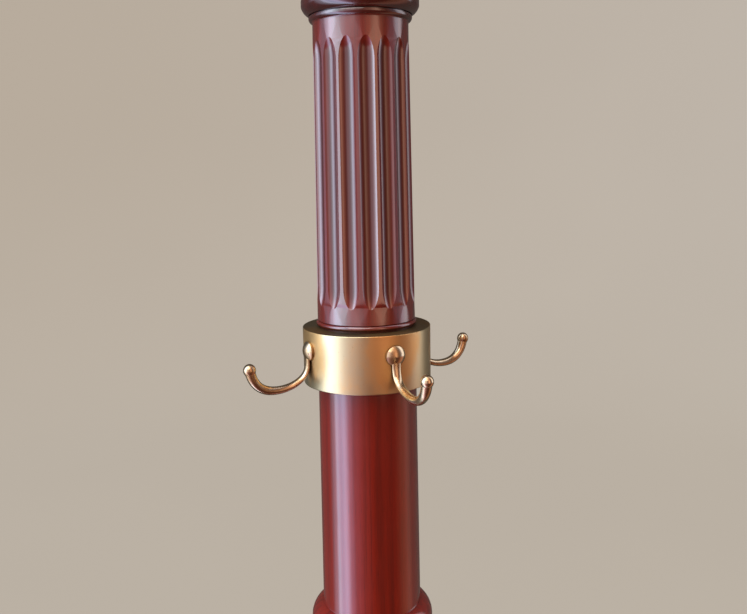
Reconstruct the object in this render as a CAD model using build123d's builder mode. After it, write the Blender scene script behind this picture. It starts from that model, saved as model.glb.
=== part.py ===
"""Flag pole stand: a turned mahogany column on a weighted round plinth.

From the floor up: felt pads, bun feet, two-stage plinth with a cast iron ballast, baluster shaft,
plain column, brass collar with four hooks, fluted column, capital, brass pole socket with a clamp screw.
One steel tie rod pulls the whole stack together. Millimetres, +Z up, origin on the floor on the axis.
Angles round the axis are counted from the front (-Y) towards the right (+X).
"""

import os
from math import cos, radians, sin, sqrt

from build123d import *

os.makedirs("parts", exist_ok=True)

# ---- driving dimensions ------------------------------------------------------------------------
# heights of the joints in the stack
FLOOR_PAD_TOP = 4
FOOT_TOP = 50
PLINTH_TOP = 86
DOME_TOP = 140
SHAFT_TOP = 938
COLLAR_BOTTOM = 1126.3
COLLAR_TOP = 1170.9
FLUTED_TOP = 1401.4
CAPITAL_TOP = 1458
SOCKET_TOP = 1500

# plinth and feet
PLINTH_RADIUS = 215
DOME_RADIUS = 176
FOOT_CIRCLE = 158
FOOT_RADIUS = 33
FOOT_COUNT = 4
BALLAST_RADIUS = 120
BALLAST_THICKNESS = 20

# column
SHAFT_BEAD_RADIUS = 50.5  # widest radius of the bead under the plain column
SHAFT_BEAD_HEIGHT = 28
PLAIN_RADIUS_LOW = 40.6
PLAIN_RADIUS_HIGH = 39.3
FLUTED_RADIUS_LOW = 38.6
FLUTED_RADIUS_HIGH = 36.1
FLUTE_COUNT = 16
FLUTE_BOTTOM = 1179
FLUTE_TIP_TOP = 1397
FLUTE_RADIUS = 8.6  # radius of the round cutter
FLUTE_DEPTH = 3.1
FLUTE_NOSE = 26  # length of the run-out at each end of the cutter's path
FLUTE_PHASE = 3.6  # the flutes were set out a few degrees off the hooks

# spigots that line the sections up, and the clearance round them
BORE_RADIUS = 5.5
DOME_SPIGOT = 20
MIDDLE_SPIGOT = 18
FLUTED_SPIGOT = 20
CAPITAL_SPIGOT = 27
SPIGOT_GAP = 0.1
SPIGOT_DEPTH = 40
FLUTED_SPIGOT_DEPTH = 95

# brass collar and hooks
COLLAR_RADIUS = 50.7
COLLAR_WALL = 2.6
COLLAR_PLATE = 2.5
HOOK_ANGLES = {"hook_front": 0, "hook_right": 99, "hook_back": 186, "hook_left": 274}
HOOK_ROOT_Z = 1155.3
HOOK_SHANK = 2.5
HOOK_BOSS = 7.7
HOOK_BOSS_RIM = 1.4
HOOK_BOSS_HEIGHT = 4.6
# half the arm's width and half its thickness at five even steps: flat at the boss, round at the tip
HOOK_ARM = ((3.6, 1.5), (3.4, 2.1), (3.4, 2.9), (3.7, 3.5), (4.1, 4.1))
HOOK_STANDOFF = 1.8  # from the collar's face to the centreline of the arm
HOOK_DROP = 9  # straight length of the arm, most of it behind the boss
HOOK_TIP = (49, 1146.6)  # distance out from the collar's face, and height
HOOK_TIP_RADIUS = 4.8
HOOK_TIP_LENGTH = 10

# tie rod
ROD_RADIUS = 5
ROD_BOTTOM = 36
ROD_TOP = 1243
WASHER_THICKNESS = 3
NUT_ACROSS_FLATS = 17
NUT_HEIGHT = 8
UPPER_WASHER_Z = 1228

# pole socket
POLE_BORE = 16.3  # for a 32 mm pole
LINER_RADIUS = 19
LINER_BOTTOM = 1258
LINER_TOP = 1498
SOCKET_SEAT = 1251
SOCKET_FLOOR_THICKNESS = 4
SOCKET_COLLAR = 25
FLANGE_RADIUS = 34
FLANGE_THICKNESS = 4
CLAMP_Z = 1480
CLAMP_STEM = 4
CLAMP_RUN = 0.05  # running clearance of the stem in its bush

GAP = 0.1


def save(part, name):
    """Labels a finished piece and writes it as its own STEP file."""
    part.label = name
    export_step(part, f"parts/{name}.step")


def at_angle(radius, angle):
    """The point at that radius, with the angle counted from the front towards the right."""
    return radius * sin(radians(angle)), -radius * cos(radians(angle))


def half_round(inner, outer, low, high):
    """A bead on a turned profile: an arc from (inner, low) over (outer, middle) to (inner, high)."""
    return ThreePointArc((inner, low), (outer, (low + high) / 2), (inner, high))


foot_angles = [45 + 360 / FOOT_COUNT * i for i in range(FOOT_COUNT)]
foot_points = [at_angle(FOOT_CIRCLE, a) for a in foot_angles]
foot_names = ["front_right", "back_right", "back_left", "front_left"]

# ---- feet and floor pads -----------------------------------------------------------------------
FOOT_BOLT = 4
FOOT_BOLT_LOW, FOOT_BOLT_HIGH = 20, 74
PAD_RADIUS = 20

with BuildPart() as foot:
    with BuildSketch(Plane.XZ):
        with BuildLine():
            Line((0, FLOOR_PAD_TOP), (21, FLOOR_PAD_TOP))
            Spline((21, FLOOR_PAD_TOP), (FOOT_RADIUS, 22), (20, 42), tangents=((1, 0.25), (-0.9, 0.45)))
            Line((20, 42), (19, 42))
            Line((19, 42), (19, 45))
            ThreePointArc((19, 45), (21.5, 47.5), (19, FOOT_TOP))
            Line((19, FOOT_TOP), (0, FOOT_TOP))
            Line((0, FOOT_TOP), (0, FLOOR_PAD_TOP))
        make_face()
    revolve(axis=Axis.Z)
    with BuildSketch(Plane.XY.offset(FOOT_BOLT_LOW)):
        Circle(FOOT_BOLT + GAP)
    extrude(amount=FOOT_TOP - FOOT_BOLT_LOW, mode=Mode.SUBTRACT)

with BuildPart() as pad:
    with BuildSketch(Plane.XY):
        Circle(PAD_RADIUS)
    extrude(amount=FLOOR_PAD_TOP)
    chamfer(pad.edges().group_by(Axis.Z)[0], length=0.8)

for (x, y), place in zip(foot_points, foot_names):
    save(foot.part.moved(Location((x, y, 0))), f"foot_{place}")
    save(pad.part.moved(Location((x, y, 0))), f"floor_pad_{place}")

with BuildPart() as foot_bolts:
    with BuildSketch(Plane.XY.offset(FOOT_BOLT_LOW)):
        with Locations(foot_points):
            Circle(FOOT_BOLT)
    extrude(amount=FOOT_BOLT_HIGH - FOOT_BOLT_LOW)
    chamfer(foot_bolts.edges(), length=0.8)
save(foot_bolts.part, "foot_bolts")

# ---- plinth ------------------------------------------------------------------------------------
RECESS_RADIUS = BALLAST_RADIUS + 2
RECESS_TOP = FOOT_TOP + BALLAST_THICKNESS + 1
WOOD_SCREW = 2.5
SCREW_HEAD = 5
SCREW_HEAD_HEIGHT = 3
PLINTH_SCREW_CIRCLE = 140
PLINTH_SCREW_TIP = 104
PLINTH_SCREW_RECESS = 10  # the heads sit this deep in the underside
BALLAST_SCREW_CIRCLE = 92
BALLAST_SCREW_TIP = 80
screw_angles = [90 * i for i in range(4)]
plinth_screw_points = [at_angle(PLINTH_SCREW_CIRCLE, a) for a in screw_angles]
ballast_screw_points = [at_angle(BALLAST_SCREW_CIRCLE, a) for a in screw_angles]

with BuildPart() as plinth_base:
    with BuildSketch(Plane.XZ):
        with BuildLine():
            Polyline(
                (BORE_RADIUS, RECESS_TOP),
                (RECESS_RADIUS, RECESS_TOP),
                (RECESS_RADIUS, FOOT_TOP),
                (PLINTH_RADIUS - 3, FOOT_TOP),
                (PLINTH_RADIUS, FOOT_TOP + 3),
                (PLINTH_RADIUS, FOOT_TOP + 15),
                (PLINTH_RADIUS - 5, FOOT_TOP + 15),
                (PLINTH_RADIUS - 5, FOOT_TOP + 18),
            )
            Spline(
                (PLINTH_RADIUS - 5, FOOT_TOP + 18),
                (PLINTH_RADIUS - 15, FOOT_TOP + 29),
                (PLINTH_RADIUS - 28, PLINTH_TOP - 2),
                tangents=((0, 1), (-1, 0.15)),
            )
            Polyline(
                (PLINTH_RADIUS - 28, PLINTH_TOP - 2),
                (PLINTH_RADIUS - 28, PLINTH_TOP),
                (BORE_RADIUS, PLINTH_TOP),
                (BORE_RADIUS, RECESS_TOP),
            )
        make_face()
    revolve(axis=Axis.Z)
    with BuildSketch(Plane.XY.offset(FOOT_TOP)):
        with Locations(foot_points):
            Circle(FOOT_BOLT + GAP)
    extrude(amount=FOOT_BOLT_HIGH - FOOT_TOP, mode=Mode.SUBTRACT)
    with BuildSketch(Plane.XY.offset(FOOT_TOP)):
        with Locations(plinth_screw_points):
            Circle(SCREW_HEAD + GAP)
    extrude(amount=PLINTH_SCREW_RECESS, mode=Mode.SUBTRACT)
    with BuildSketch(Plane.XY.offset(FOOT_TOP)):
        with Locations(plinth_screw_points):
            Circle(WOOD_SCREW + GAP)
    extrude(amount=PLINTH_TOP - FOOT_TOP, mode=Mode.SUBTRACT)
    with BuildSketch(Plane.XY.offset(RECESS_TOP)):
        with Locations(ballast_screw_points):
            Circle(WOOD_SCREW + GAP)
    extrude(amount=BALLAST_SCREW_TIP - RECESS_TOP, mode=Mode.SUBTRACT)
save(plinth_base.part, "plinth_base")

with BuildPart() as plinth_dome:
    with BuildSketch(Plane.XZ):
        with BuildLine():
            Line((BORE_RADIUS, PLINTH_TOP), (DOME_RADIUS - 8, PLINTH_TOP))
            half_round(DOME_RADIUS - 8, DOME_RADIUS, PLINTH_TOP, PLINTH_TOP + 16)
            Polyline(
                (DOME_RADIUS - 8, PLINTH_TOP + 16),
                (DOME_RADIUS - 12, PLINTH_TOP + 16),
                (DOME_RADIUS - 12, PLINTH_TOP + 19),
            )
            Spline(
                (DOME_RADIUS - 12, PLINTH_TOP + 19),
                (118, PLINTH_TOP + 27),
                (68, DOME_TOP - 7),
                tangents=((-0.6, 0.8), (-0.45, 0.9)),
            )
            Polyline(
                (68, DOME_TOP - 7),
                (64, DOME_TOP - 7),
                (64, DOME_TOP),
                (DOME_SPIGOT + SPIGOT_GAP, DOME_TOP),
                (DOME_SPIGOT + SPIGOT_GAP, DOME_TOP - SPIGOT_DEPTH - 1),
                (BORE_RADIUS, DOME_TOP - SPIGOT_DEPTH - 1),
                (BORE_RADIUS, PLINTH_TOP),
            )
        make_face()
    revolve(axis=Axis.Z)
    with BuildSketch(Plane.XY.offset(PLINTH_TOP)):
        with Locations(plinth_screw_points):
            Circle(WOOD_SCREW + GAP)
    extrude(amount=PLINTH_SCREW_TIP - PLINTH_TOP, mode=Mode.SUBTRACT)
save(plinth_dome.part, "plinth_dome")

BALLAST_LOW = RECESS_TOP - BALLAST_THICKNESS
with BuildPart() as ballast_weight:
    with BuildSketch(Plane.XY.offset(BALLAST_LOW)):
        Circle(BALLAST_RADIUS)
        Circle(BORE_RADIUS, mode=Mode.SUBTRACT)
        with Locations(ballast_screw_points):
            Circle(WOOD_SCREW + 2 * GAP, mode=Mode.SUBTRACT)
    extrude(amount=BALLAST_THICKNESS)
    outer = ballast_weight.edges().filter_by(GeomType.CIRCLE).sort_by(SortBy.RADIUS)[-2:]
    chamfer(outer, length=2)
save(ballast_weight.part, "ballast_weight")


def pan_head_screws(points, under_head, tip):
    """Wood screws pointing up at those points: a shank and a pan head below it."""
    with BuildPart() as screws:
        with BuildSketch(Plane.XY.offset(under_head)):
            with Locations(points):
                Circle(WOOD_SCREW)
        extrude(amount=tip - under_head)
        with BuildSketch(Plane.XY.offset(under_head - SCREW_HEAD_HEIGHT)):
            with Locations(points):
                Circle(SCREW_HEAD)
        extrude(amount=SCREW_HEAD_HEIGHT)
        chamfer(screws.edges().group_by(Axis.Z)[0], length=1)
    return screws.part


save(
    pan_head_screws(plinth_screw_points, FOOT_TOP + PLINTH_SCREW_RECESS, PLINTH_SCREW_TIP - 1),
    "plinth_screws",
)
save(pan_head_screws(ballast_screw_points, BALLAST_LOW, BALLAST_SCREW_TIP - 1), "ballast_screws")

# ---- lower shaft: a turned baluster ------------------------------------------------------------
BEAD_LOW = SHAFT_TOP - SHAFT_BEAD_HEIGHT
with BuildPart() as lower_shaft:
    with BuildSketch(Plane.XZ):
        with BuildLine():
            Polyline(
                (BORE_RADIUS, DOME_TOP - SPIGOT_DEPTH),
                (DOME_SPIGOT, DOME_TOP - SPIGOT_DEPTH),
                (DOME_SPIGOT, DOME_TOP),
                (48, DOME_TOP),
            )
            half_round(48, 57, DOME_TOP, DOME_TOP + 18)
            Polyline((48, DOME_TOP + 18), (46, DOME_TOP + 18), (46, DOME_TOP + 22))
            ThreePointArc((46, DOME_TOP + 22), (38.8, DOME_TOP + 27), (36.5, DOME_TOP + 37))
            Line((36.5, DOME_TOP + 37), (38, DOME_TOP + 37))
            half_round(38, 43, DOME_TOP + 37, DOME_TOP + 47)
            Polyline((38, DOME_TOP + 47), (34, DOME_TOP + 47), (34, DOME_TOP + 51))
            Spline(
                (34, DOME_TOP + 51),
                (52, DOME_TOP + 136),
                (39, DOME_TOP + 350),
                (31, BEAD_LOW - 54),
                tangents=((0.2, 1), (0.02, 1)),
            )
            Line((31, BEAD_LOW - 54), (32.5, BEAD_LOW - 54))
            half_round(32.5, 36.5, BEAD_LOW - 54, BEAD_LOW - 46)
            Line((32.5, BEAD_LOW - 46), (31.5, BEAD_LOW - 46))
            ThreePointArc((31.5, BEAD_LOW - 46), (33.4, BEAD_LOW - 22), (41, BEAD_LOW - 4))
            Polyline((41, BEAD_LOW - 4), (43, BEAD_LOW - 4), (43, BEAD_LOW), (PLAIN_RADIUS_LOW, BEAD_LOW))
            half_round(PLAIN_RADIUS_LOW, SHAFT_BEAD_RADIUS, BEAD_LOW, SHAFT_TOP)
            Polyline(
                (PLAIN_RADIUS_LOW, SHAFT_TOP),
                (MIDDLE_SPIGOT + SPIGOT_GAP, SHAFT_TOP),
                (MIDDLE_SPIGOT + SPIGOT_GAP, SHAFT_TOP - SPIGOT_DEPTH - 1),
                (BORE_RADIUS, SHAFT_TOP - SPIGOT_DEPTH - 1),
                (BORE_RADIUS, DOME_TOP - SPIGOT_DEPTH),
            )
        make_face()
    revolve(axis=Axis.Z)
save(lower_shaft.part, "lower_shaft")

# ---- middle column: plain ----------------------------------------------------------------------
FLUTED_SPIGOT_LOW = COLLAR_TOP - FLUTED_SPIGOT_DEPTH
with BuildPart() as middle_column:
    with BuildSketch(Plane.XZ):
        with BuildLine():
            Polyline(
                (BORE_RADIUS, SHAFT_TOP - SPIGOT_DEPTH),
                (MIDDLE_SPIGOT, SHAFT_TOP - SPIGOT_DEPTH),
                (MIDDLE_SPIGOT, SHAFT_TOP),
                (PLAIN_RADIUS_LOW, SHAFT_TOP),
                (PLAIN_RADIUS_HIGH, COLLAR_BOTTOM - 1),
                (PLAIN_RADIUS_HIGH - 1, COLLAR_BOTTOM),
                (FLUTED_SPIGOT + SPIGOT_GAP, COLLAR_BOTTOM),
                (FLUTED_SPIGOT + SPIGOT_GAP, FLUTED_SPIGOT_LOW - 1),
                (BORE_RADIUS, FLUTED_SPIGOT_LOW - 1),
                close=True,
            )
        make_face()
    revolve(axis=Axis.Z)
save(middle_column.part, "middle_column")

# ---- fluted column -----------------------------------------------------------------------------
NUT_POCKET = 14
QUIRK_TOP = COLLAR_TOP + 1.2
CAPITAL_SPIGOT_TOP = FLUTED_TOP + 12
flute_lean = (FLUTED_RADIUS_LOW - FLUTED_RADIUS_HIGH) / (FLUTE_TIP_TOP - FLUTE_BOTTOM)
cutter_inset = FLUTE_RADIUS - FLUTE_DEPTH  # how far the cutter's axis stands outside the surface
nose_arc = (FLUTE_NOSE**2 + FLUTE_RADIUS**2) / (2 * FLUTE_RADIUS)  # tangent to the cutter's side

with BuildPart() as fluted_column:
    with BuildSketch(Plane.XZ):
        with BuildLine():
            Polyline(
                (BORE_RADIUS, FLUTED_SPIGOT_LOW),
                (FLUTED_SPIGOT, FLUTED_SPIGOT_LOW),
                (FLUTED_SPIGOT, COLLAR_TOP),
                (37.6, COLLAR_TOP),
                (37.6, QUIRK_TOP),
                (38.1, QUIRK_TOP),
            )
            half_round(38.1, 39.7, QUIRK_TOP, QUIRK_TOP + 4)
            Polyline(
                (38.1, QUIRK_TOP + 4),
                (FLUTED_RADIUS_LOW, QUIRK_TOP + 4.6),
                (FLUTED_RADIUS_LOW, FLUTE_BOTTOM),
                (FLUTED_RADIUS_HIGH, FLUTE_TIP_TOP),
                (FLUTED_RADIUS_HIGH, FLUTED_TOP - 1),
            )
            ThreePointArc(
                (FLUTED_RADIUS_HIGH, FLUTED_TOP - 1),
                (FLUTED_RADIUS_HIGH + 0.3, FLUTED_TOP - 0.3),
                (FLUTED_RADIUS_HIGH + 1, FLUTED_TOP),
            )
            Polyline(
                (FLUTED_RADIUS_HIGH + 1, FLUTED_TOP),
                (CAPITAL_SPIGOT, FLUTED_TOP),
                (CAPITAL_SPIGOT, CAPITAL_SPIGOT_TOP),
                (LINER_RADIUS + GAP, CAPITAL_SPIGOT_TOP),
                (LINER_RADIUS + GAP, SOCKET_SEAT),
                (NUT_POCKET, SOCKET_SEAT),
                (NUT_POCKET, UPPER_WASHER_Z),
                (BORE_RADIUS, UPPER_WASHER_Z),
                (BORE_RADIUS, FLUTED_SPIGOT_LOW),
            )
        make_face()
    revolve(axis=Axis.Z)
    # one flute's cutter: a round bar with long noses, leaning with the column's taper
    flute_frame = Plane(
        origin=(FLUTED_RADIUS_LOW + cutter_inset, 0, FLUTE_BOTTOM),
        x_dir=(1, 0, flute_lean),
        z_dir=(0, -1, 0),
    )
    flute_length = FLUTE_TIP_TOP - FLUTE_BOTTOM
    with BuildSketch(flute_frame, mode=Mode.PRIVATE) as cutter_profile:
        with BuildLine():
            Line((0, 0), (0, flute_length))
            RadiusArc((0, flute_length), (FLUTE_RADIUS, flute_length - FLUTE_NOSE), nose_arc)
            Line((FLUTE_RADIUS, flute_length - FLUTE_NOSE), (FLUTE_RADIUS, FLUTE_NOSE))
            RadiusArc((FLUTE_RADIUS, FLUTE_NOSE), (0, 0), nose_arc)
        make_face()
    cutter = revolve(
        cutter_profile.sketch,
        axis=Axis(flute_frame.origin, flute_frame.y_dir),
        mode=Mode.PRIVATE,
    )
    with PolarLocations(0, FLUTE_COUNT, start_angle=-90 + FLUTE_PHASE):
        add(cutter, mode=Mode.SUBTRACT)
save(fluted_column.part, "fluted_column")

# ---- capital -----------------------------------------------------------------------------------
NECK_BAND_TOP = FLUTED_TOP + 3.6
NECK_QUIRK = 0.9
NECK_OVOLO_TOP = FLUTED_TOP + 10.6
NECK_BEAD_TOP = FLUTED_TOP + 18
NECK_BEAD_RADIUS = 44.2
with BuildPart() as capital:
    with BuildSketch(Plane.XZ):
        with BuildLine():
            Line((CAPITAL_SPIGOT + SPIGOT_GAP, FLUTED_TOP), (37.6, FLUTED_TOP))
            ThreePointArc((37.6, FLUTED_TOP), (38.7, FLUTED_TOP + 1.6), (38.7, NECK_BAND_TOP))
            Polyline(
                (38.7, NECK_BAND_TOP),
                (37.6, NECK_BAND_TOP),
                (37.6, NECK_BAND_TOP + NECK_QUIRK),
                (39, NECK_BAND_TOP + NECK_QUIRK),
            )
            ThreePointArc(
                (39, NECK_BAND_TOP + NECK_QUIRK),
                (42.9, NECK_BAND_TOP + NECK_QUIRK + 3.4),
                (NECK_BEAD_RADIUS, NECK_OVOLO_TOP),
            )
            Line((NECK_BEAD_RADIUS, NECK_OVOLO_TOP), (NECK_BEAD_RADIUS, NECK_OVOLO_TOP + 3))
            ThreePointArc(
                (NECK_BEAD_RADIUS, NECK_OVOLO_TOP + 3),
                (43.2, NECK_BEAD_TOP - 1.2),
                (41, NECK_BEAD_TOP),
            )
            Polyline((41, NECK_BEAD_TOP), (38.8, NECK_BEAD_TOP), (38.8, NECK_BEAD_TOP + 3))
            ThreePointArc((38.8, NECK_BEAD_TOP + 3), (41, NECK_BEAD_TOP + 9), (46.6, NECK_BEAD_TOP + 13.5))
            Polyline((46.6, NECK_BEAD_TOP + 13.5), (48.4, NECK_BEAD_TOP + 13.5))
            half_round(48.4, 52.4, NECK_BEAD_TOP + 13.5, NECK_BEAD_TOP + 22.5)
            Line((48.4, NECK_BEAD_TOP + 22.5), (46.6, NECK_BEAD_TOP + 23.2))
            ThreePointArc(
                (46.6, NECK_BEAD_TOP + 23.2),
                (42.6, CAPITAL_TOP - 4),
                (FLANGE_RADIUS + 1.5, CAPITAL_TOP),
            )
            Polyline(
                (FLANGE_RADIUS + 1.5, CAPITAL_TOP),
                (LINER_RADIUS + GAP, CAPITAL_TOP),
                (LINER_RADIUS + GAP, CAPITAL_SPIGOT_TOP + 0.5),
                (CAPITAL_SPIGOT + SPIGOT_GAP, CAPITAL_SPIGOT_TOP + 0.5),
                (CAPITAL_SPIGOT + SPIGOT_GAP, FLUTED_TOP),
            )
        make_face()
    revolve(axis=Axis.Z)
    # pilot holes for the flange screws
    CAP_SCREW = 1.6
    CAP_SCREW_HEAD = 3.2
    CAP_SCREW_LENGTH = 22
    cap_screw_points = [at_angle(29.3, a) for a in foot_angles]
    with BuildSketch(Plane.XY.offset(CAPITAL_TOP)):
        with Locations(cap_screw_points):
            Circle(CAP_SCREW + GAP)
    extrude(amount=-CAP_SCREW_LENGTH, mode=Mode.SUBTRACT)
save(capital.part, "capital")

# ---- brass collar ------------------------------------------------------------------------------
CORE_RADIUS = COLLAR_RADIUS - COLLAR_WALL - GAP
CORE_BORE = FLUTED_SPIGOT + 2 * GAP
LOWER_RING = 2


def hook_planes(depth):
    """A plane facing outwards for each hook, at the height of its root and that far from the axis."""
    spots = [at_angle(depth, angle) for angle in HOOK_ANGLES.values()]
    return [Plane(origin=(x, y, HOOK_ROOT_Z), z_dir=(x, y, 0)) for x, y in spots]


with BuildPart() as collar_band:
    with BuildSketch(Plane.XZ):
        with BuildLine():
            Polyline(
                (COLLAR_RADIUS - COLLAR_WALL, COLLAR_BOTTOM + LOWER_RING),
                (COLLAR_RADIUS, COLLAR_BOTTOM + LOWER_RING),
                (COLLAR_RADIUS, COLLAR_TOP),
                (CORE_BORE, COLLAR_TOP),
                (CORE_BORE, COLLAR_TOP - COLLAR_PLATE),
                (COLLAR_RADIUS - COLLAR_WALL, COLLAR_TOP - COLLAR_PLATE),
                close=True,
            )
        make_face()
    revolve(axis=Axis.Z)
    rim = collar_band.edges().filter_by(GeomType.CIRCLE).group_by(Axis.Z)[-1].sort_by(SortBy.RADIUS)[-1]
    fillet(rim, radius=0.7)
    with BuildSketch(*hook_planes(COLLAR_RADIUS - COLLAR_WALL - 2)):
        Circle(HOOK_SHANK + GAP)
    extrude(amount=COLLAR_WALL + 4, mode=Mode.SUBTRACT)
save(collar_band.part, "collar_band")

with BuildPart() as collar_lower_ring:
    with BuildSketch(Plane.XY.offset(COLLAR_BOTTOM)):
        Circle(COLLAR_RADIUS)
        Circle(CORE_BORE, mode=Mode.SUBTRACT)
    extrude(amount=LOWER_RING)
    rim = collar_lower_ring.edges().filter_by(GeomType.CIRCLE).group_by(Axis.Z)[0].sort_by(SortBy.RADIUS)[-1]
    fillet(rim, radius=0.7)
save(collar_lower_ring.part, "collar_lower_ring")

SHANK_END = 32
with BuildPart() as collar_core:
    with BuildSketch(Plane.XY.offset(COLLAR_BOTTOM + LOWER_RING)):
        Circle(CORE_RADIUS)
        Circle(CORE_BORE, mode=Mode.SUBTRACT)
    extrude(amount=COLLAR_TOP - COLLAR_PLATE - COLLAR_BOTTOM - LOWER_RING)
    with BuildSketch(*hook_planes(SHANK_END - 1)):
        Circle(HOOK_SHANK + GAP)
    extrude(amount=COLLAR_RADIUS - SHANK_END + 1, mode=Mode.SUBTRACT)
save(collar_core.part, "collar_core")

# ---- hooks: one cast brass hook, pointing to the front, turned to each place -------------------
hook_plane = Plane(origin=(0, 0, 0), x_dir=(0, -1, 0), z_dir=(-1, 0, 0))
arm_x = COLLAR_RADIUS + HOOK_STANDOFF
boss_dome = HOOK_BOSS_HEIGHT - HOOK_BOSS_RIM
boss_arc = (HOOK_BOSS**2 + boss_dome**2) / (2 * boss_dome)
tip_x, tip_z = COLLAR_RADIUS + HOOK_TIP[0], HOOK_TIP[1]
# the arm's curve: out from the collar's face, and up from the root
throat = [(3.5, -16.4), (10.4, -22.9), (20, -26.3), (30, -26.9), (39.3, -24.3), (46, -17.6)]

with BuildPart() as hook:
    with BuildLine(hook_plane) as arm:
        Line((arm_x, HOOK_ROOT_Z), (arm_x, HOOK_ROOT_Z - HOOK_DROP))
        Spline(
            (arm_x, HOOK_ROOT_Z - HOOK_DROP),
            *[(COLLAR_RADIUS + out, HOOK_ROOT_Z + up) for out, up in throat],
            (tip_x, tip_z),
            tangents=((0, -1), (0.2, 0.98)),
            tangent_scalars=(1, 1),
        )
    spine = arm.wires()[0]
    for step, (half_width, half_thickness) in enumerate(HOOK_ARM):
        share = step / (len(HOOK_ARM) - 1)
        with BuildSketch(Plane(origin=spine @ share, x_dir=(1, 0, 0), z_dir=spine % share)):
            Ellipse(half_width, half_thickness)
    sweep(path=spine, multisection=True)
    # rounded tip
    with BuildSketch(hook_plane):
        with Locations((tip_x, tip_z)):
            Ellipse(HOOK_TIP_RADIUS, HOOK_TIP_LENGTH / 2)
            Rectangle(HOOK_TIP_RADIUS, HOOK_TIP_LENGTH, align=(Align.MAX, Align.CENTER), mode=Mode.SUBTRACT)
    revolve(axis=Axis((0, -tip_x, 0), (0, 0, 1)))
    # domed boss on the collar's face, with the shank behind it
    with BuildSketch(hook_plane):
        with BuildLine():
            Line((COLLAR_RADIUS - 1, HOOK_ROOT_Z), (COLLAR_RADIUS - 1, HOOK_ROOT_Z + HOOK_BOSS))
            Line(
                (COLLAR_RADIUS - 1, HOOK_ROOT_Z + HOOK_BOSS),
                (COLLAR_RADIUS + HOOK_BOSS_RIM, HOOK_ROOT_Z + HOOK_BOSS),
            )
            RadiusArc(
                (COLLAR_RADIUS + HOOK_BOSS_RIM, HOOK_ROOT_Z + HOOK_BOSS),
                (COLLAR_RADIUS + HOOK_BOSS_HEIGHT, HOOK_ROOT_Z),
                boss_arc,
            )
            Line((COLLAR_RADIUS + HOOK_BOSS_HEIGHT, HOOK_ROOT_Z), (COLLAR_RADIUS - 1, HOOK_ROOT_Z))
        make_face()
    revolve(axis=Axis((0, 0, HOOK_ROOT_Z), (0, -1, 0)))
    with Locations((0, 0, HOOK_ROOT_Z)):
        Cylinder(COLLAR_RADIUS, 40, mode=Mode.SUBTRACT)
    with BuildSketch(Plane(origin=(0, -SHANK_END, HOOK_ROOT_Z), z_dir=(0, -1, 0))):
        Circle(HOOK_SHANK)
    extrude(amount=COLLAR_RADIUS + 1 - SHANK_END)

for name, angle in HOOK_ANGLES.items():
    save(hook.part.rotate(Axis.Z, angle), name)

# ---- tie rod with its nuts and washers ---------------------------------------------------------
with BuildPart() as tie_rod:
    with BuildSketch(Plane.XY.offset(ROD_BOTTOM)):
        Circle(ROD_RADIUS)
    extrude(amount=ROD_TOP - ROD_BOTTOM)
    chamfer(tie_rod.edges(), length=1)
save(tie_rod.part, "tie_rod")


def washer(low, radius):
    """A flat washer on the rod whose underside is at low."""
    with BuildPart() as ring:
        with BuildSketch(Plane.XY.offset(low)):
            Circle(radius)
            Circle(BORE_RADIUS, mode=Mode.SUBTRACT)
        extrude(amount=WASHER_THICKNESS)
    return ring.part


def nut(low):
    """A hexagon nut on the rod whose underside is at low."""
    with BuildPart() as hexagon:
        with BuildSketch(Plane.XY.offset(low)):
            RegularPolygon(NUT_ACROSS_FLATS / sqrt(3), 6)
            Circle(ROD_RADIUS + CLAMP_RUN, mode=Mode.SUBTRACT)
        extrude(amount=NUT_HEIGHT)
    return hexagon.part


save(washer(BALLAST_LOW - WASHER_THICKNESS, 16), "rod_lower_washer")
save(nut(BALLAST_LOW - WASHER_THICKNESS - NUT_HEIGHT), "rod_lower_nut")
save(washer(UPPER_WASHER_Z, NUT_POCKET - 1), "rod_upper_washer")
save(nut(UPPER_WASHER_Z + WASHER_THICKNESS), "rod_upper_nut")

# ---- pole socket -------------------------------------------------------------------------------
LINER_HOLE = 4.8
BUSH_RADIUS = 6.5
BOSS_END = 36  # how far the clamp boss stands out from the axis
PAD_FACE = 16.6  # the clamp pad's face when the screw is backed out

with BuildPart() as socket_floor:
    with BuildSketch(Plane.XY.offset(SOCKET_SEAT)):
        Circle(LINER_RADIUS - GAP)
    extrude(amount=SOCKET_FLOOR_THICKNESS)
save(socket_floor.part, "socket_floor")

with BuildPart() as pole_rest_pad:
    with BuildSketch(Plane.XY.offset(SOCKET_SEAT + SOCKET_FLOOR_THICKNESS)):
        Circle(LINER_RADIUS - GAP)
    extrude(amount=LINER_BOTTOM - SOCKET_SEAT - SOCKET_FLOOR_THICKNESS)
save(pole_rest_pad.part, "pole_rest_pad")

with BuildPart() as socket_liner:
    with BuildSketch(Plane.XY.offset(LINER_BOTTOM)):
        Circle(LINER_RADIUS)
        Circle(POLE_BORE, mode=Mode.SUBTRACT)
    extrude(amount=LINER_TOP - LINER_BOTTOM)
    with BuildSketch(Plane(origin=(0, 0, CLAMP_Z), z_dir=(0, -1, 0))):
        Circle(LINER_HOLE)
    extrude(amount=LINER_RADIUS + 2, mode=Mode.SUBTRACT)
save(socket_liner.part, "socket_liner")

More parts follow.
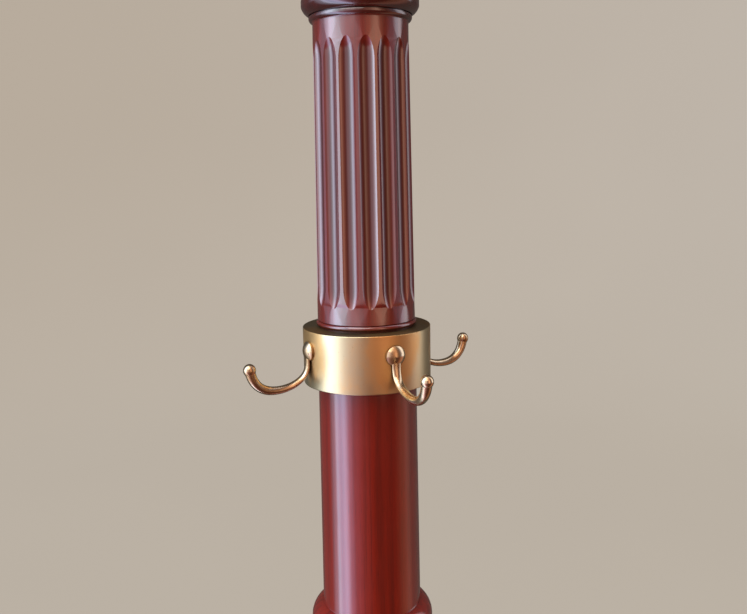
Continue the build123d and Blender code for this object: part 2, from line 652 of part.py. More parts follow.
with BuildPart() as socket_cap:
    flange_top = CAPITAL_TOP + FLANGE_THICKNESS
    with BuildSketch(Plane.XZ):
        with BuildLine():
            Line((LINER_RADIUS + GAP, CAPITAL_TOP), (FLANGE_RADIUS, CAPITAL_TOP))
            Line((FLANGE_RADIUS, CAPITAL_TOP), (FLANGE_RADIUS, CAPITAL_TOP + 2))
            ThreePointArc(
                (FLANGE_RADIUS, CAPITAL_TOP + 2),
                (FLANGE_RADIUS - 0.6, CAPITAL_TOP + 3.4),
                (FLANGE_RADIUS - 2, flange_top),
            )
            Line((FLANGE_RADIUS - 2, flange_top), (SOCKET_COLLAR + 1, flange_top))
            ThreePointArc(
                (SOCKET_COLLAR + 1, flange_top),
                (SOCKET_COLLAR + 0.3, flange_top + 0.8),
                (SOCKET_COLLAR, flange_top + 2),
            )
            Line((SOCKET_COLLAR, flange_top + 2), (SOCKET_COLLAR, SOCKET_TOP - 8))
            half_round(SOCKET_COLLAR, SOCKET_COLLAR + 2.4, SOCKET_TOP - 8, SOCKET_TOP - 2)
            Polyline(
                (SOCKET_COLLAR, SOCKET_TOP - 2),
                (SOCKET_COLLAR - 2, SOCKET_TOP),
                (POLE_BORE + 2, SOCKET_TOP),
                (POLE_BORE + 0.6, SOCKET_TOP - 1),
                (POLE_BORE + 0.6, LINER_TOP),
                (LINER_RADIUS + GAP, LINER_TOP),
                (LINER_RADIUS + GAP, CAPITAL_TOP),
            )
        make_face()
    revolve(axis=Axis.Z)
    # clamp boss with a hole for its bush
    with BuildSketch(Plane(origin=(0, -SOCKET_COLLAR + 3, CLAMP_Z), z_dir=(0, -1, 0))):
        Circle(9)
    extrude(amount=BOSS_END - SOCKET_COLLAR + 3)
    fillet(socket_cap.edges().filter_by(GeomType.CIRCLE).sort_by(Axis.Y)[0], radius=1)
    with BuildSketch(Plane(origin=(0, 0, CLAMP_Z), z_dir=(0, -1, 0))):
        Circle(BUSH_RADIUS)
    extrude(amount=BOSS_END + 1, mode=Mode.SUBTRACT)
    # countersunk holes for the flange screws
    with Locations(*[(x, y, flange_top) for x, y in cap_screw_points]):
        CounterSinkHole(CAP_SCREW + GAP, CAP_SCREW_HEAD + GAP, depth=FLANGE_THICKNESS + 2)
save(socket_cap.part, "socket_cap")

with BuildPart() as cap_screws:
    with BuildSketch(Plane.XY.offset(flange_top)):
        with Locations(cap_screw_points):
            Circle(CAP_SCREW)
    extrude(amount=1 - CAP_SCREW_LENGTH)
    head_height = CAP_SCREW_HEAD - CAP_SCREW
    with Locations(*[(x, y, flange_top - head_height / 2) for x, y in cap_screw_points]):
        Cone(CAP_SCREW, CAP_SCREW_HEAD, head_height)
    with Locations(*[(x, y, flange_top) for x, y in cap_screw_points]):
        Box(8, 0.8, 1.2, mode=Mode.SUBTRACT)
save(cap_screws.part, "cap_screws")

with BuildPart() as clamp_bush:
    with BuildSketch(Plane(origin=(0, -LINER_RADIUS - 0.8, CLAMP_Z), z_dir=(0, -1, 0))):
        Circle(BUSH_RADIUS - CLAMP_RUN)
    extrude(amount=BOSS_END - LINER_RADIUS - 0.8)
    with BuildSketch(Plane(origin=(0, -BOSS_END, CLAMP_Z), z_dir=(0, -1, 0))):
        Circle(BUSH_RADIUS + 1.3)
    extrude(amount=1.5)
    with BuildSketch(Plane(origin=(0, 0, CLAMP_Z), z_dir=(0, -1, 0))):
        Circle(CLAMP_STEM + CLAMP_RUN)
    extrude(amount=BOSS_END + 3, mode=Mode.SUBTRACT)
save(clamp_bush.part, "clamp_bush")

# ---- clamp screw, its knob and its pressure pad, drawn backed out ------------------------------
PAD_THICKNESS = 3.2
PIVOT_RADIUS = 2.2
PIVOT_LENGTH = 2
STEM_START = PAD_FACE + PAD_THICKNESS
KNOB_START = 47
KNOB_SOCKET = 7
KNOB_HUB = 2
KNOB_HEAD = 9
KNOB_RADIUS = 13
KNOB_LOBES = 12

with BuildPart() as clamp_pad:
    with BuildSketch(Plane(origin=(0, -PAD_FACE, CLAMP_Z), z_dir=(0, -1, 0))):
        Circle(CLAMP_STEM)
    extrude(amount=PAD_THICKNESS)
    with BuildSketch(Plane(origin=(0, -STEM_START, CLAMP_Z), z_dir=(0, 1, 0))):
        Circle(PIVOT_RADIUS + CLAMP_RUN)
    extrude(amount=PIVOT_LENGTH + GAP, mode=Mode.SUBTRACT)
save(clamp_pad.part, "clamp_pad")

with BuildPart() as clamp_screw:
    with BuildSketch(Plane(origin=(0, -STEM_START - GAP, CLAMP_Z), z_dir=(0, -1, 0))):
        Circle(CLAMP_STEM)
    extrude(amount=KNOB_START + KNOB_SOCKET - STEM_START - GAP)
    with BuildSketch(Plane(origin=(0, -STEM_START - GAP, CLAMP_Z), z_dir=(0, 1, 0))):
        Circle(PIVOT_RADIUS)
    extrude(amount=PIVOT_LENGTH)
save(clamp_screw.part, "clamp_screw")

with BuildPart() as clamp_knob:
    with BuildSketch(Plane(origin=(0, -KNOB_START - KNOB_HUB, CLAMP_Z), z_dir=(0, -1, 0))):
        Circle(KNOB_RADIUS)
        with PolarLocations(KNOB_RADIUS + 0.9, KNOB_LOBES):
            Circle(2.1, mode=Mode.SUBTRACT)
    extrude(amount=KNOB_HEAD)
    chamfer(clamp_knob.edges().group_by(Axis.Y)[0], length=1)
    chamfer(clamp_knob.edges().group_by(Axis.Y)[-1], length=1)
    with BuildSketch(Plane(origin=(0, -KNOB_START, CLAMP_Z), z_dir=(0, -1, 0))):
        Circle(6.5)
    extrude(amount=KNOB_HUB)
    with BuildSketch(Plane(origin=(0, -KNOB_START - KNOB_HUB - KNOB_HEAD, CLAMP_Z), z_dir=(0, -1, 0))):
        Circle(9)
    extrude(amount=1.6, taper=30)
    with BuildSketch(Plane(origin=(0, -KNOB_START, CLAMP_Z), z_dir=(0, -1, 0))):
        Circle(CLAMP_STEM)
    extrude(amount=KNOB_SOCKET, mode=Mode.SUBTRACT)
save(clamp_knob.part, "clamp_knob")
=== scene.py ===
"""Looks, light and camera for the flag pole stand: mahogany, brass, iron, steel, felt and leather."""

import math

import bpy
from mathutils import Matrix, Vector


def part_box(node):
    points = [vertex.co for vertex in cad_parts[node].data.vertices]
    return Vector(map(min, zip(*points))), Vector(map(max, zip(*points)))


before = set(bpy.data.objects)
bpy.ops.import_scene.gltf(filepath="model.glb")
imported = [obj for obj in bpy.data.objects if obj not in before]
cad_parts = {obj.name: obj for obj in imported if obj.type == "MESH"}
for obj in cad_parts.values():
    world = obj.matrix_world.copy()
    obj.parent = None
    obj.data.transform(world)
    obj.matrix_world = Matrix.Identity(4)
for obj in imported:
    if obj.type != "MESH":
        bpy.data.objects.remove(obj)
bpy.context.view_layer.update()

MM = 0.001

# ---- camera: level with the fluted part, close in, looking slightly down towards the collar ------
CAMERA_AZIMUTH = -24.4  # degrees from the front, negative to the left
CAMERA_DISTANCE = 0.642
CAMERA_OVER_COLLAR = 0.1213  # above the collar's top
CAMERA_PITCH = 9.5  # degrees down
CAMERA_ROLL = 1.09  # degrees
CAMERA_AIM = 0.52  # degrees to the right of the column's axis
CAMERA_LENS = 39.5
SENSOR_WIDTH = 36
NEAREST = 0.01
FARTHEST = 100


# ---- node helpers --------------------------------------------------------------------------------
# the sockets of a Mix node that is set to colours
MIX_FIRST, MIX_SECOND, MIX_RESULT = 6, 7, 2


def opaque(colour):
    """A plain colour with full alpha, or another node's output as it is."""
    return colour if isinstance(colour, bpy.types.NodeSocket) else (*colour, 1.0)


class Graph:
    """The node tree of a material or a world, with short ways to add nodes and join them."""

    def __init__(self, owner):
        owner.use_nodes = True
        self.tree = owner.node_tree
        self.coordinates = self.node("ShaderNodeTexCoord").outputs
        self.place = self.coordinates["Object"]

    def node(self, kind, inputs=None, **settings):
        """A new node. Its inputs are plain values or other nodes' outputs."""
        made = self.tree.nodes.new(kind)
        for key, value in settings.items():
            setattr(made, key, value)
        for socket, value in (inputs or {}).items():
            self.feed(made.inputs[socket], value)
        return made

    def feed(self, socket, value):
        if isinstance(value, bpy.types.NodeSocket):
            self.tree.links.new(value, socket)
        else:
            socket.default_value = value

    def maths(self, operation, first, second=0.0, third=0.0):
        return self.node("ShaderNodeMath", {0: first, 1: second, 2: third}, operation=operation).outputs[0]

    def stretch(self, scale, place=None, turn=(0, 0, 0), shift=(0, 0, 0)):
        """The place, turned and scaled, so that a pattern is finer along some axes than along others."""
        inputs = {"Vector": place or self.place, "Location": shift, "Rotation": turn, "Scale": scale}
        return self.node("ShaderNodeMapping", inputs).outputs[0]

    def noise(self, place, scale, detail=3.0, roughness=0.5, distortion=0.0):
        inputs = {
            "Vector": place,
            "Scale": scale,
            "Detail": detail,
            "Roughness": roughness,
            "Distortion": distortion,
        }
        return self.node("ShaderNodeTexNoise", inputs).outputs["Fac"]

    def span(self, value, low, high, to_low=0.0, to_high=1.0):
        """The value's stretch from low to high, turned smoothly into one from to_low to to_high."""
        inputs = {"Value": value, "From Min": low, "From Max": high, "To Min": to_low, "To Max": to_high}
        return self.node("ShaderNodeMapRange", inputs, interpolation_type="SMOOTHSTEP").outputs["Result"]

    def blend(self, factor, first, second):
        """A mix of two colours. A colour is a tuple or another node's output."""
        inputs = {"Factor": factor, MIX_FIRST: opaque(first), MIX_SECOND: opaque(second)}
        return self.node("ShaderNodeMix", inputs, data_type="RGBA").outputs[MIX_RESULT]

    def ramp(self, value, stops, interpolation="LINEAR"):
        """A run of colours: each stop is a position from 0 to 1 and a colour."""
        made = self.node("ShaderNodeValToRGB", {0: value})
        made.color_ramp.interpolation = interpolation
        marks = made.color_ramp.elements
        while len(marks) < len(stops):
            marks.new(0.5)
        for mark, (position, colour) in zip(marks, stops):
            mark.position = position
            mark.color = opaque(colour)
        return made.outputs[0]

    def bump(self, height, strength, distance, under=None):
        """A relief of that height, on top of the relief under it."""
        inputs = {"Height": height, "Strength": strength, "Distance": distance}
        if under is not None:
            inputs["Normal"] = under
        return self.node("ShaderNodeBump", inputs).outputs[0]

    def parts(self, vector):
        """The vector's X, Y and Z."""
        return tuple(self.node("ShaderNodeSeparateXYZ", {0: vector}).outputs)

    def radius(self, lean):
        """Distance from the column's axis, plus lean times the height, which undoes a taper."""
        x, y, z = self.parts(self.place)
        square = self.maths("MULTIPLY_ADD", y, y, self.maths("MULTIPLY", x, x))
        return self.maths("MULTIPLY_ADD", z, lean, self.maths("SQRT", square))

    def nearness(self, points, near, far):
        """1 within near of any of the points, falling to 0 at far."""
        closest = None
        for point in points:
            gap = self.node("ShaderNodeVectorMath", {0: self.place, 1: point}, operation="DISTANCE")
            length = gap.outputs["Value"]
            closest = length if closest is None else self.maths("MINIMUM", closest, length)
        return self.span(closest, near, far, to_low=1.0, to_high=0.0)

    def crevice(self, reach):
        """1 in corners, where little open sky is found nearby, 0 on open faces: the mask of the painted
        shade in corners.
        """
        open_sky = self.node("ShaderNodeAmbientOcclusion", {"Distance": reach}, samples=6).outputs["AO"]
        return self.span(open_sky, low=0.35, high=0.9, to_low=1.0, to_high=0.0)

    def facing_up(self):
        """1 on faces that look upwards, 0 on the rest."""
        upwards = self.parts(self.node("ShaderNodeNewGeometry").outputs["Normal"])[2]
        return self.span(upwards, low=0.6, high=0.95)


class Finish(Graph):
    """A new material, its node tree and its shader."""

    def __init__(self, name):
        self.material = bpy.data.materials.new(name)
        super().__init__(self.material)
        self.shader = self.tree.nodes["Principled BSDF"]

    def set(self, socket, value):
        """One of the shader's sockets. A plain value goes straight on the socket itself."""
        self.feed(self.shader.inputs[socket], value)


# ---- wood ----------------------------------------------------------------------------------------
WOOD_DEEP = (0.125, 0.0065, 0.0025)
WOOD_RED = (0.198, 0.0092, 0.0026)
WOOD_BRIGHT = (0.230, 0.0180, 0.0060)
WOOD_PORE = (0.045, 0.0050, 0.0030)
# the brown of aged polish, also used as the colour of the painted shade in corners and flutes
PATINA_AND_SHADE = (0.026, 0.0036, 0.0024)
BEECH_DARK = (0.33, 0.19, 0.095)
BEECH_LIGHT = (0.52, 0.33, 0.18)

# how far each pattern is drawn out along the grain: the smaller the last number, the longer
ALONG_GRAIN = (1, 1, 0.04)
ALONG_PORES = (1, 1, 0.03)
ALONG_RIPPLE = (1, 1, 0.35)
ALONG_BEECH = (1, 1, 0.06)

# shares of the rings, the ribbon stripe and the fibres in the wood's figure
RINGS_SHARE, RIBBON_SHARE, FIBRE_SHARE = 0.13, 0.50, 0.32
CORNER_REACH = 7 * MM  # how far into a corner the painted shade runs
# strengths of the painted shade in the corners and at the bottom of the flutes
CORNER_SHADE = 0.85
FLUTE_SHADE = 0.60
CORNER_DULL = 0.6
POLISH_IOR = 2.0  # above shellac's 1.5, for a stronger mirror


def polished_wood(name, turn=(0, 0, 0), shift=(0, 0, 0), age=0.0, coat=0.085, hollow=None):
    """French-polished mahogany. The grain runs along Z of the turned place. age is how far the polish has
    gone brown, and coat is its roughness. hollow is the inner and outer radius and the lean of a fluted
    piece: the bottom of the flutes is darkened with painted shade."""
    g = Finish(name)
    grain = g.stretch(ALONG_GRAIN, turn=turn, shift=shift)
    # growth rings of the log, off centre, a little wavy
    waves = {"Vector": grain, "Scale": 48, "Distortion": 7, "Detail": 4, "Detail Scale": 1.4}
    rings = g.node("ShaderNodeTexWave", waves, wave_type="RINGS", rings_direction="Z", wave_profile="SIN")
    # ribbon stripe and fine fibres
    ribbon = g.noise(grain, scale=75, detail=3, roughness=0.6)
    fibre = g.noise(grain, scale=700, detail=4, roughness=0.7)
    figure = g.maths("MULTIPLY", ribbon, RIBBON_SHARE)
    figure = g.maths("MULTIPLY_ADD", rings.outputs["Fac"], RINGS_SHARE, figure)
    figure = g.maths("MULTIPLY_ADD", fibre, FIBRE_SHARE, figure)
    colour = g.ramp(
        g.span(figure, low=0.28, high=0.70),
        [(0.0, WOOD_DEEP), (0.40, WOOD_RED), (0.70, WOOD_RED), (1.0, WOOD_BRIGHT)],
    )
    # open pores: short dark strokes along the grain
    pores = g.noise(g.stretch(ALONG_PORES, turn=turn, shift=shift), scale=2600, detail=1)
    colour = g.blend(g.span(pores, low=0.60, high=0.70, to_high=0.35), colour, WOOD_PORE)
    # broad, faint change of tone, and painted shade darkening the corners
    cloud = g.span(g.noise(g.place, scale=14, detail=4), low=0.35, high=0.7, to_high=0.45)
    colour = g.blend(cloud, colour, WOOD_DEEP)
    colour = g.blend(age, colour, PATINA_AND_SHADE)
    painted_shade = g.crevice(CORNER_REACH)
    colour = g.blend(g.maths("MULTIPLY", painted_shade, CORNER_SHADE), colour, PATINA_AND_SHADE)
    # painted shade: the bottom of the flutes is darkened, by the distance from the column's axis
    if hollow:
        inner, outer, lean = hollow
        flute_shade = g.span(g.radius(lean), inner, outer, to_low=FLUTE_SHADE, to_high=0.0)
        colour = g.blend(flute_shade, colour, PATINA_AND_SHADE)
        painted_shade = g.maths("MAXIMUM", painted_shade, flute_shade)
    g.set("Base Color", colour)
    patches = g.noise(g.place, scale=45, detail=4)
    g.set("Roughness", g.span(patches, low=0.35, high=0.75, to_low=0.35, to_high=0.5))
    g.set("Specular IOR Level", 0.12)
    # a polishing cloth leaves the corners duller
    g.set("Coat Weight", g.maths("MULTIPLY_ADD", painted_shade, -CORNER_DULL, 1.0))
    g.set("Coat Roughness", coat)
    g.set("Coat IOR", POLISH_IOR)
    g.set("Normal", g.bump(pores, strength=0.12, distance=0.2 * MM))
    # the polish itself ripples a little, and just shows the pores
    ripple = g.bump(g.noise(g.stretch(ALONG_RIPPLE), scale=60, detail=2), strength=0.09, distance=1.2 * MM)
    g.set("Coat Normal", g.bump(pores, strength=0.03, distance=0.2 * MM, under=ripple))
    return g.material


def bare_wood(name):
    """Beech with no finish, inside the collar."""
    g = Finish(name)
    fibre = g.noise(g.stretch(ALONG_BEECH), scale=500, detail=4, roughness=0.6)
    g.set("Base Color", g.ramp(fibre, [(0.3, BEECH_DARK), (0.7, BEECH_LIGHT)]))
    g.set("Roughness", 0.7)
    g.set("Normal", g.bump(fibre, strength=0.3, distance=0.3 * MM))
    return g.material


# ---- metals --------------------------------------------------------------------------------------
BRASS_PALE = (0.60, 0.51, 0.300)
BRASS_ORANGE = (0.74, 0.46, 0.185)
BRASS_DARK = (0.10, 0.065, 0.026)
HOOK_PALE = (0.68, 0.55, 0.36)
HOOK_BROWN = (0.44, 0.28, 0.13)
IRON_PAINT = (0.018, 0.018, 0.019)
IRON_RUST = (0.12, 0.042, 0.016)
STEEL_CLEAN = (0.52, 0.51, 0.49)
STEEL_STAINED = (0.30, 0.24, 0.18)

# which way a brass piece's fine polishing lines run
ROUND_THE_PIECE = (0.04, 0.04, 1)
ALONG_THE_PIECE = (1, 1, 0.04)
NO_LINES = (1, 1, 1)
# clouds of tarnish a little taller than wide, and fine turning rings up a steel piece
TALL_CLOUDS = (1, 1, 0.6)
LATHE_RINGS = (1, 1, 40)

HANDLED_NEAR, HANDLED_FAR = 8 * MM, 36 * MM
HANDLED_TARNISH = 0.30
UNHANDLED_PALENESS = 0.12
BRASS_CORNER_REACH = 6 * MM
BRASS_CORNER_SHADE = 0.8
BRASS_TOP_DARK = 0.85
SCRATCH_ROUGHNESS = 0.10
CORNER_ROUGHNESS = 0.18


def aged_brass(name, pale, tarnished, smooth, rough, lines=NO_LINES, spots=26, handled=(), dull_top=False):
    """Brass gone uneven: orange-brown clouds over paler metal, brownest near the handled points, fine
    polishing lines, small dark specks, and painted shade darkening the corners. smooth and rough are the
    roughness of the pale and the tarnished metal, midway in the scratches. dull_top makes the upward faces
    dark and rougher."""
    g = Finish(name)
    cloud = g.noise(g.stretch(TALL_CLOUDS), spots, detail=5, roughness=0.6)
    if handled:
        touched = g.nearness(handled, HANDLED_NEAR, HANDLED_FAR)
        paler = g.maths("SUBTRACT", cloud, UNHANDLED_PALENESS)
        cloud = g.maths("MULTIPLY_ADD", touched, HANDLED_TARNISH, paler)
    tarnish = g.span(cloud, low=0.38, high=0.66)
    colour = g.blend(tarnish, pale, tarnished)
    specks = g.noise(g.place, scale=950, detail=3, roughness=0.6)
    colour = g.blend(g.span(specks, low=0.66, high=0.76, to_high=0.5), colour, BRASS_DARK)
    # painted shade: the brass is darkened in the corners that ambient occlusion finds, and is rougher
    # there
    corner = g.maths("MULTIPLY", g.crevice(BRASS_CORNER_REACH), BRASS_CORNER_SHADE)
    # the upward faces are made dark and rougher as well
    if dull_top:
        corner = g.maths("MAXIMUM", corner, g.maths("MULTIPLY", g.facing_up(), BRASS_TOP_DARK))
    g.set("Base Color", g.blend(corner, colour, BRASS_DARK))
    g.set("Metallic", 1.0)
    scratches = g.noise(g.stretch(lines), scale=1500, detail=3, roughness=0.7)
    middle = SCRATCH_ROUGHNESS / 2
    worn = g.span(tarnish, low=0.0, high=1.0, to_low=smooth - middle, to_high=rough - middle)
    worn = g.maths("MULTIPLY_ADD", scratches, SCRATCH_ROUGHNESS, worn)
    g.set("Roughness", g.maths("MULTIPLY_ADD", corner, CORNER_ROUGHNESS, worn))
    g.set("Normal", g.bump(scratches, strength=0.06, distance=0.2 * MM))
    return g.material


def cast_iron(name):
    """Rough sand casting under black paint, with rust coming through."""
    g = Finish(name)
    grit = g.noise(g.place, scale=420, detail=6, roughness=0.65)
    rust = g.span(g.noise(g.place, scale=38, detail=5, roughness=0.6), low=0.56, high=0.68)
    g.set("Base Color", g.blend(rust, IRON_PAINT, IRON_RUST))
    g.set("Roughness", g.span(grit, low=0.2, high=0.8, to_low=0.45, to_high=0.75))
    g.set("Normal", g.bump(grit, strength=0.5, distance=0.8 * MM))
    return g.material


def plain_steel(name):
    """Turned bright steel with a little oil-brown staining."""
    g = Finish(name)
    stain = g.span(g.noise(g.place, scale=60, detail=4), low=0.45, high=0.75)
    rings = g.noise(g.stretch(LATHE_RINGS), scale=60, detail=3)
    g.set("Base Color", g.blend(stain, STEEL_CLEAN, STEEL_STAINED))
    g.set("Metallic", 1.0)
    g.set("Roughness", g.span(stain, low=0.0, high=1.0, to_low=0.28, to_high=0.5))
    g.set("Normal", g.bump(rings, strength=0.12, distance=0.2 * MM))
    return g.material


# ---- soft materials ------------------------------------------------------------------------------
FELT_DARK = (0.035, 0.030, 0.026)
FELT_LIGHT = (0.11, 0.095, 0.08)
LEATHER_DARK = (0.07, 0.028, 0.012)
LEATHER_TAN = (0.23, 0.10, 0.045)


def wool_felt(name):
    """Dense grey-brown felt, with a matted surface."""
    g = Finish(name)
    hair = g.noise(g.place, scale=1500, detail=5, roughness=0.75, distortion=1.5)
    g.set("Base Color", g.ramp(hair, [(0.3, FELT_DARK), (0.7, FELT_LIGHT)]))
    g.set("Roughness", 0.95)
    g.set("Sheen Weight", 0.5)
    g.set("Sheen Roughness", 0.6)
    g.set("Normal", g.bump(hair, strength=0.8, distance=0.6 * MM))
    return g.material


def tan_leather(name):
    """Tan leather with a pebbled grain."""
    g = Finish(name)
    cells = g.node("ShaderNodeTexVoronoi", {"Vector": g.place, "Scale": 900}, feature="DISTANCE_TO_EDGE")
    pebble = g.span(cells.outputs["Distance"], low=0.0, high=0.3)
    g.set("Base Color", g.blend(pebble, LEATHER_DARK, LEATHER_TAN))
    g.set("Roughness", 0.55)
    g.set("Normal", g.bump(pebble, strength=0.5, distance=0.3 * MM))
    return g.material


# ---- which material goes where -------------------------------------------------------------------
SIDEWAYS = (0, math.radians(90), 0)
BOSS_DROP = 7 * MM  # the middle of a hook's boss, below the hook's top
collar_low, collar_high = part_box("collar_band")


def hook_root(node):
    """Where that hook meets the collar."""
    low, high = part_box(node)
    outwards = Vector(((low.x + high.x) / 2, (low.y + high.y) / 2, 0)).normalized()
    return outwards * collar_high.y + Vector((0, 0, high.z - BOSS_DROP))


hook_roots = [hook_root(node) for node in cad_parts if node.startswith("hook_")]
collar_brass = aged_brass(
    "collar_brass",
    BRASS_PALE,
    BRASS_ORANGE,
    smooth=0.32,
    rough=0.40,
    lines=ALONG_THE_PIECE,
    handled=hook_roots,
    dull_top=True,
)
hook_brass = aged_brass("hook_brass", HOOK_PALE, HOOK_BROWN, smooth=0.18, rough=0.34, spots=110)
socket_brass = aged_brass(
    "socket_brass", BRASS_PALE, BRASS_ORANGE, smooth=0.18, rough=0.28, lines=ROUND_THE_PIECE
)
steel = plain_steel("steel")
felt = wool_felt("wool_felt")

# radii at the bottom and on the lands of the flutes, taken back to the floor along the column's taper
FLUTE_LEAN = 0.01147
FLUTE_FLOOR_RADIUS = 49.2 * MM
FLUTE_LAND_RADIUS = 51.7 * MM

materials = {
    "plinth_base": polished_wood("wood_plinth", turn=SIDEWAYS, shift=(0.3, 0.05, 0)),
    "plinth_dome": polished_wood("wood_dome", turn=SIDEWAYS, shift=(0.1, -0.2, 0.1)),
    "lower_shaft": polished_wood("wood_lower_shaft", shift=(0.055, 0.03, 0)),
    "middle_column": polished_wood("wood_middle_column", shift=(0.07, -0.02, 0.4)),
    "fluted_column": polished_wood(
        "wood_fluted_column",
        shift=(0.05, 0.04, 0.9),
        age=0.28,
        coat=0.10,
        hollow=(FLUTE_FLOOR_RADIUS, FLUTE_LAND_RADIUS, FLUTE_LEAN),
    ),
    "capital": polished_wood("wood_capital", shift=(-0.06, 0.05, 1.3), age=0.80, coat=0.10),
    "collar_core": bare_wood("bare_beech"),
    "ballast_weight": cast_iron("cast_iron"),
    "collar_band": collar_brass,
    "collar_lower_ring": collar_brass,
    "pole_rest_pad": tan_leather("leather"),
}
foot_wood = polished_wood("wood_foot", shift=(0.02, 0.02, 0))
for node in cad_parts:
    if node.startswith("foot_") and node != "foot_bolts":
        materials[node] = foot_wood
    if node.startswith("floor_pad"):
        materials[node] = felt
    if node.startswith("hook_"):
        materials[node] = hook_brass
for node in ("socket_cap", "socket_liner", "cap_screws"):
    materials[node] = socket_brass
for node in ("clamp_bush", "clamp_screw", "clamp_knob", "clamp_pad"):
    materials[node] = socket_brass

# what is left is steel: the rod, nuts, washers, bolts, wood screws and the socket's floor
for node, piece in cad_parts.items():
    piece.data.materials.clear()
    piece.data.materials.append(materials.get(node, steel))

# ---- stage ---------------------------------------------------------------------------------------
FLOOR_RADIUS = 3.4
CURVE_RADIUS = 1.6
WALL_TOP = 5.2
FLOOR_RINGS = 8
CURVE_RINGS = 24
SECTORS = 96
PAPER_DARK = (0.060, 0.060, 0.056)
PAPER_LIGHT = (0.068, 0.068, 0.062)
PAPER_GLOW = (0.50, 0.436, 0.355)
PAPER_GLOW_STRENGTH = 0.86


def studio_paper():
    """Pale paper with a faint change of tone. Most of its brightness is its own, so it stays even."""
    g = Finish("studio_paper")
    tone = g.span(g.noise(g.place, scale=0.7, detail=2), low=0.3, high=0.7)
    g.set("Base Color", g.blend(tone, PAPER_DARK, PAPER_LIGHT))
    g.set("Emission Color", opaque(PAPER_GLOW))
    g.set("Emission Strength", PAPER_GLOW_STRENGTH)
    g.set("Roughness", 0.95)
    g.set("Specular IOR Level", 0.1)
    return g.material


def bowl():
    """A pale floor that curves up into a round wall, one smooth sheet."""
    profile = [(FLOOR_RADIUS * i / FLOOR_RINGS, 0.0) for i in range(1, FLOOR_RINGS + 1)]
    for i in range(1, CURVE_RINGS + 1):
        a = math.radians(90 * i / CURVE_RINGS)
        profile.append((FLOOR_RADIUS + CURVE_RADIUS * math.sin(a), CURVE_RADIUS * (1 - math.cos(a))))
    profile.append((FLOOR_RADIUS + CURVE_RADIUS, WALL_TOP))
    points, faces = [Vector((0, 0, 0))], []
    for r, z in profile:
        for k in range(SECTORS):
            a = 2 * math.pi * k / SECTORS
            points.append(Vector((r * math.cos(a), r * math.sin(a), z)))
    for k in range(SECTORS):
        faces.append((0, 1 + k, 1 + (k + 1) % SECTORS))
    for ring in range(len(profile) - 1):
        base = 1 + ring * SECTORS
        for k in range(SECTORS):
            n = (k + 1) % SECTORS
            faces.append((base + k, base + SECTORS + k, base + SECTORS + n, base + n))
    mesh = bpy.data.meshes.new("studio_sweep")
    mesh.from_pydata(points, [], faces)
    mesh.shade_smooth()
    mesh.materials.append(studio_paper())
    made = bpy.data.objects.new("studio_sweep", mesh)
    bpy.context.collection.objects.link(made)
    # the lamp and the room alone light the object: the paper isn't mirrored in it and casts no shadow
    made.visible_glossy = False
    made.visible_diffuse = False
    made.visible_shadow = False
    return made


bowl()

# ---- light ---------------------------------------------------------------------------------------
# one large soft lamp, high up and a little to the left of the camera
FILL_AZIMUTH = CAMERA_AZIMUTH - 20
FILL_DISTANCE = 1.6
FILL_HEIGHT = 3.4
FILL_SIDE = 2.2
FILL_WATTS = 36
FILL_COLOUR = (1.0, 0.93, 0.86)


def around(azimuth, distance, height):
    """The point at that azimuth, counted from the front towards the right."""
    a = math.radians(azimuth)
    return Vector((distance * math.sin(a), -distance * math.cos(a), height))


collar_middle = Vector((0, 0, (collar_low.z + collar_high.z) / 2))
lamp = bpy.data.lights.new("top_fill", "AREA")
lamp.shape = "RECTANGLE"
lamp.size = lamp.size_y = FILL_SIDE
lamp.energy = FILL_WATTS
lamp.color = FILL_COLOUR
fill = bpy.data.objects.new("top_fill", lamp)
fill.location = around(FILL_AZIMUTH, FILL_DISTANCE, FILL_HEIGHT)
fill.rotation_euler = (collar_middle - fill.location).to_track_quat("-Z", "Y").to_euler()
bpy.context.collection.objects.link(fill)

# tones of the room by the azimuth seen from the camera, in degrees: above the sill, and below it
HIGH_TONES = [
    (-180, (0.12, 0.10, 0.09)),
    (-120, (0.12, 0.12, 0.12)),
    (-100, (0.60, 0.65, 0.85)),
    (-88, (2.20, 2.50, 3.20)),
    (-76, (4.20, 4.70, 5.90)),
    (-66, (4.10, 4.80, 5.80)),
    (-56, (2.40, 2.90, 3.30)),
    (-44, (1.50, 1.60, 1.80)),
    (-30, (1.30, 1.10, 1.20)),
    (-18, (1.30, 1.05, 1.10)),
    (-6, (0.60, 0.42, 0.42)),
    (4, (0.34, 0.19, 0.15)),
    (18, (0.80, 0.38, 0.26)),
    (38, (1.70, 0.98, 0.68)),
    (48, (0.55, 0.28, 0.18)),
    (60, (0.22, 0.12, 0.08)),
    (80, (0.30, 0.26, 0.30)),
    (94, (1.60, 1.50, 1.70)),
    (106, (1.90, 1.80, 1.90)),
    (122, (0.12, 0.10, 0.09)),
    (180, (0.12, 0.10, 0.09)),
]
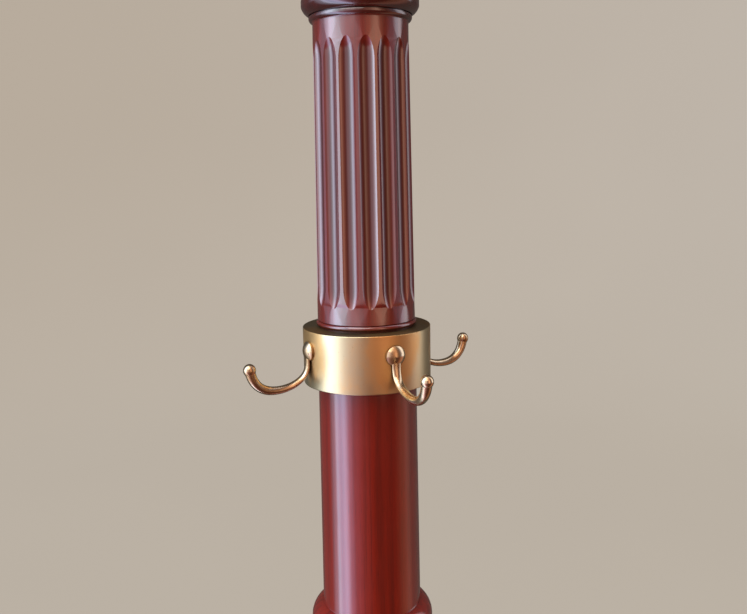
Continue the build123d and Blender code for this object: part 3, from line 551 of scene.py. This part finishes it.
LOW_TONES = [
    (-180, (0.12, 0.11, 0.10)),
    (-106, (0.10, 0.10, 0.10)),
    (-88, (0.80, 0.95, 1.20)),
    (-80, (2.50, 2.80, 3.70)),
    (-70, (1.80, 2.10, 3.10)),
    (-60, (2.70, 2.60, 3.70)),
    (-44, (1.10, 0.75, 1.05)),
    (-34, (0.56, 0.30, 0.38)),
    (-10, (0.30, 0.12, 0.11)),
    (10, (0.12, 0.045, 0.03)),
    (60, (0.12, 0.045, 0.03)),
    (84, (0.46, 0.20, 0.12)),
    (98, (0.60, 0.28, 0.20)),
    (118, (0.15, 0.13, 0.11)),
    (180, (0.12, 0.11, 0.10)),
]
# the sill: the room is darker from this many degrees below level, and fully so from this many
SILL_START = 10
SILL_END = 15.5
ROOM_STRENGTH = 0.92

world = bpy.data.worlds.new("studio")
bpy.context.scene.world = world
room = Graph(world)
direction = room.coordinates["Generated"]
# the radial gradient starts behind the camera and runs once round the room
heading = room.stretch((1, 1, 1), place=direction, turn=(0, 0, math.radians(90 - CAMERA_AZIMUTH)))
wheel = room.node("ShaderNodeTexGradient", {0: heading}, gradient_type="RADIAL").outputs["Fac"]


def tones_round(tones):
    """The room's tones, placed round the wheel: the azimuths -180 to 180 become 0 to 1."""
    stops = [((degrees + 180) / 360, colour) for degrees, colour in tones]
    return room.ramp(wheel, stops, interpolation="EASE")


low_edge = -math.sin(math.radians(SILL_END))
high_edge = -math.sin(math.radians(SILL_START))
over_sill = room.span(room.parts(direction)[2], low_edge, high_edge)
room_tone = room.blend(over_sill, tones_round(LOW_TONES), tones_round(HIGH_TONES))
background = room.tree.nodes["Background"]
room.feed(background.inputs["Color"], room_tone)
room.feed(background.inputs["Strength"], ROOM_STRENGTH)

# ---- camera --------------------------------------------------------------------------------------
lens = bpy.data.cameras.new("camera")
lens.sensor_width = SENSOR_WIDTH
lens.lens = CAMERA_LENS
lens.clip_start = NEAREST
lens.clip_end = FARTHEST
camera = bpy.data.objects.new("camera", lens)
bpy.context.collection.objects.link(camera)
swing = Matrix.Rotation(math.radians(CAMERA_AZIMUTH - CAMERA_AIM), 4, "Z")
tilt = Matrix.Rotation(math.radians(90 - CAMERA_PITCH), 4, "X")
roll = Matrix.Rotation(math.radians(-CAMERA_ROLL), 4, "Z")
spot = around(CAMERA_AZIMUTH, CAMERA_DISTANCE, collar_high.z + CAMERA_OVER_COLLAR)
camera.matrix_world = Matrix.Translation(spot) @ swing @ tilt @ roll
bpy.context.scene.camera = camera
bpy.context.scene.view_settings.view_transform = "Standard"
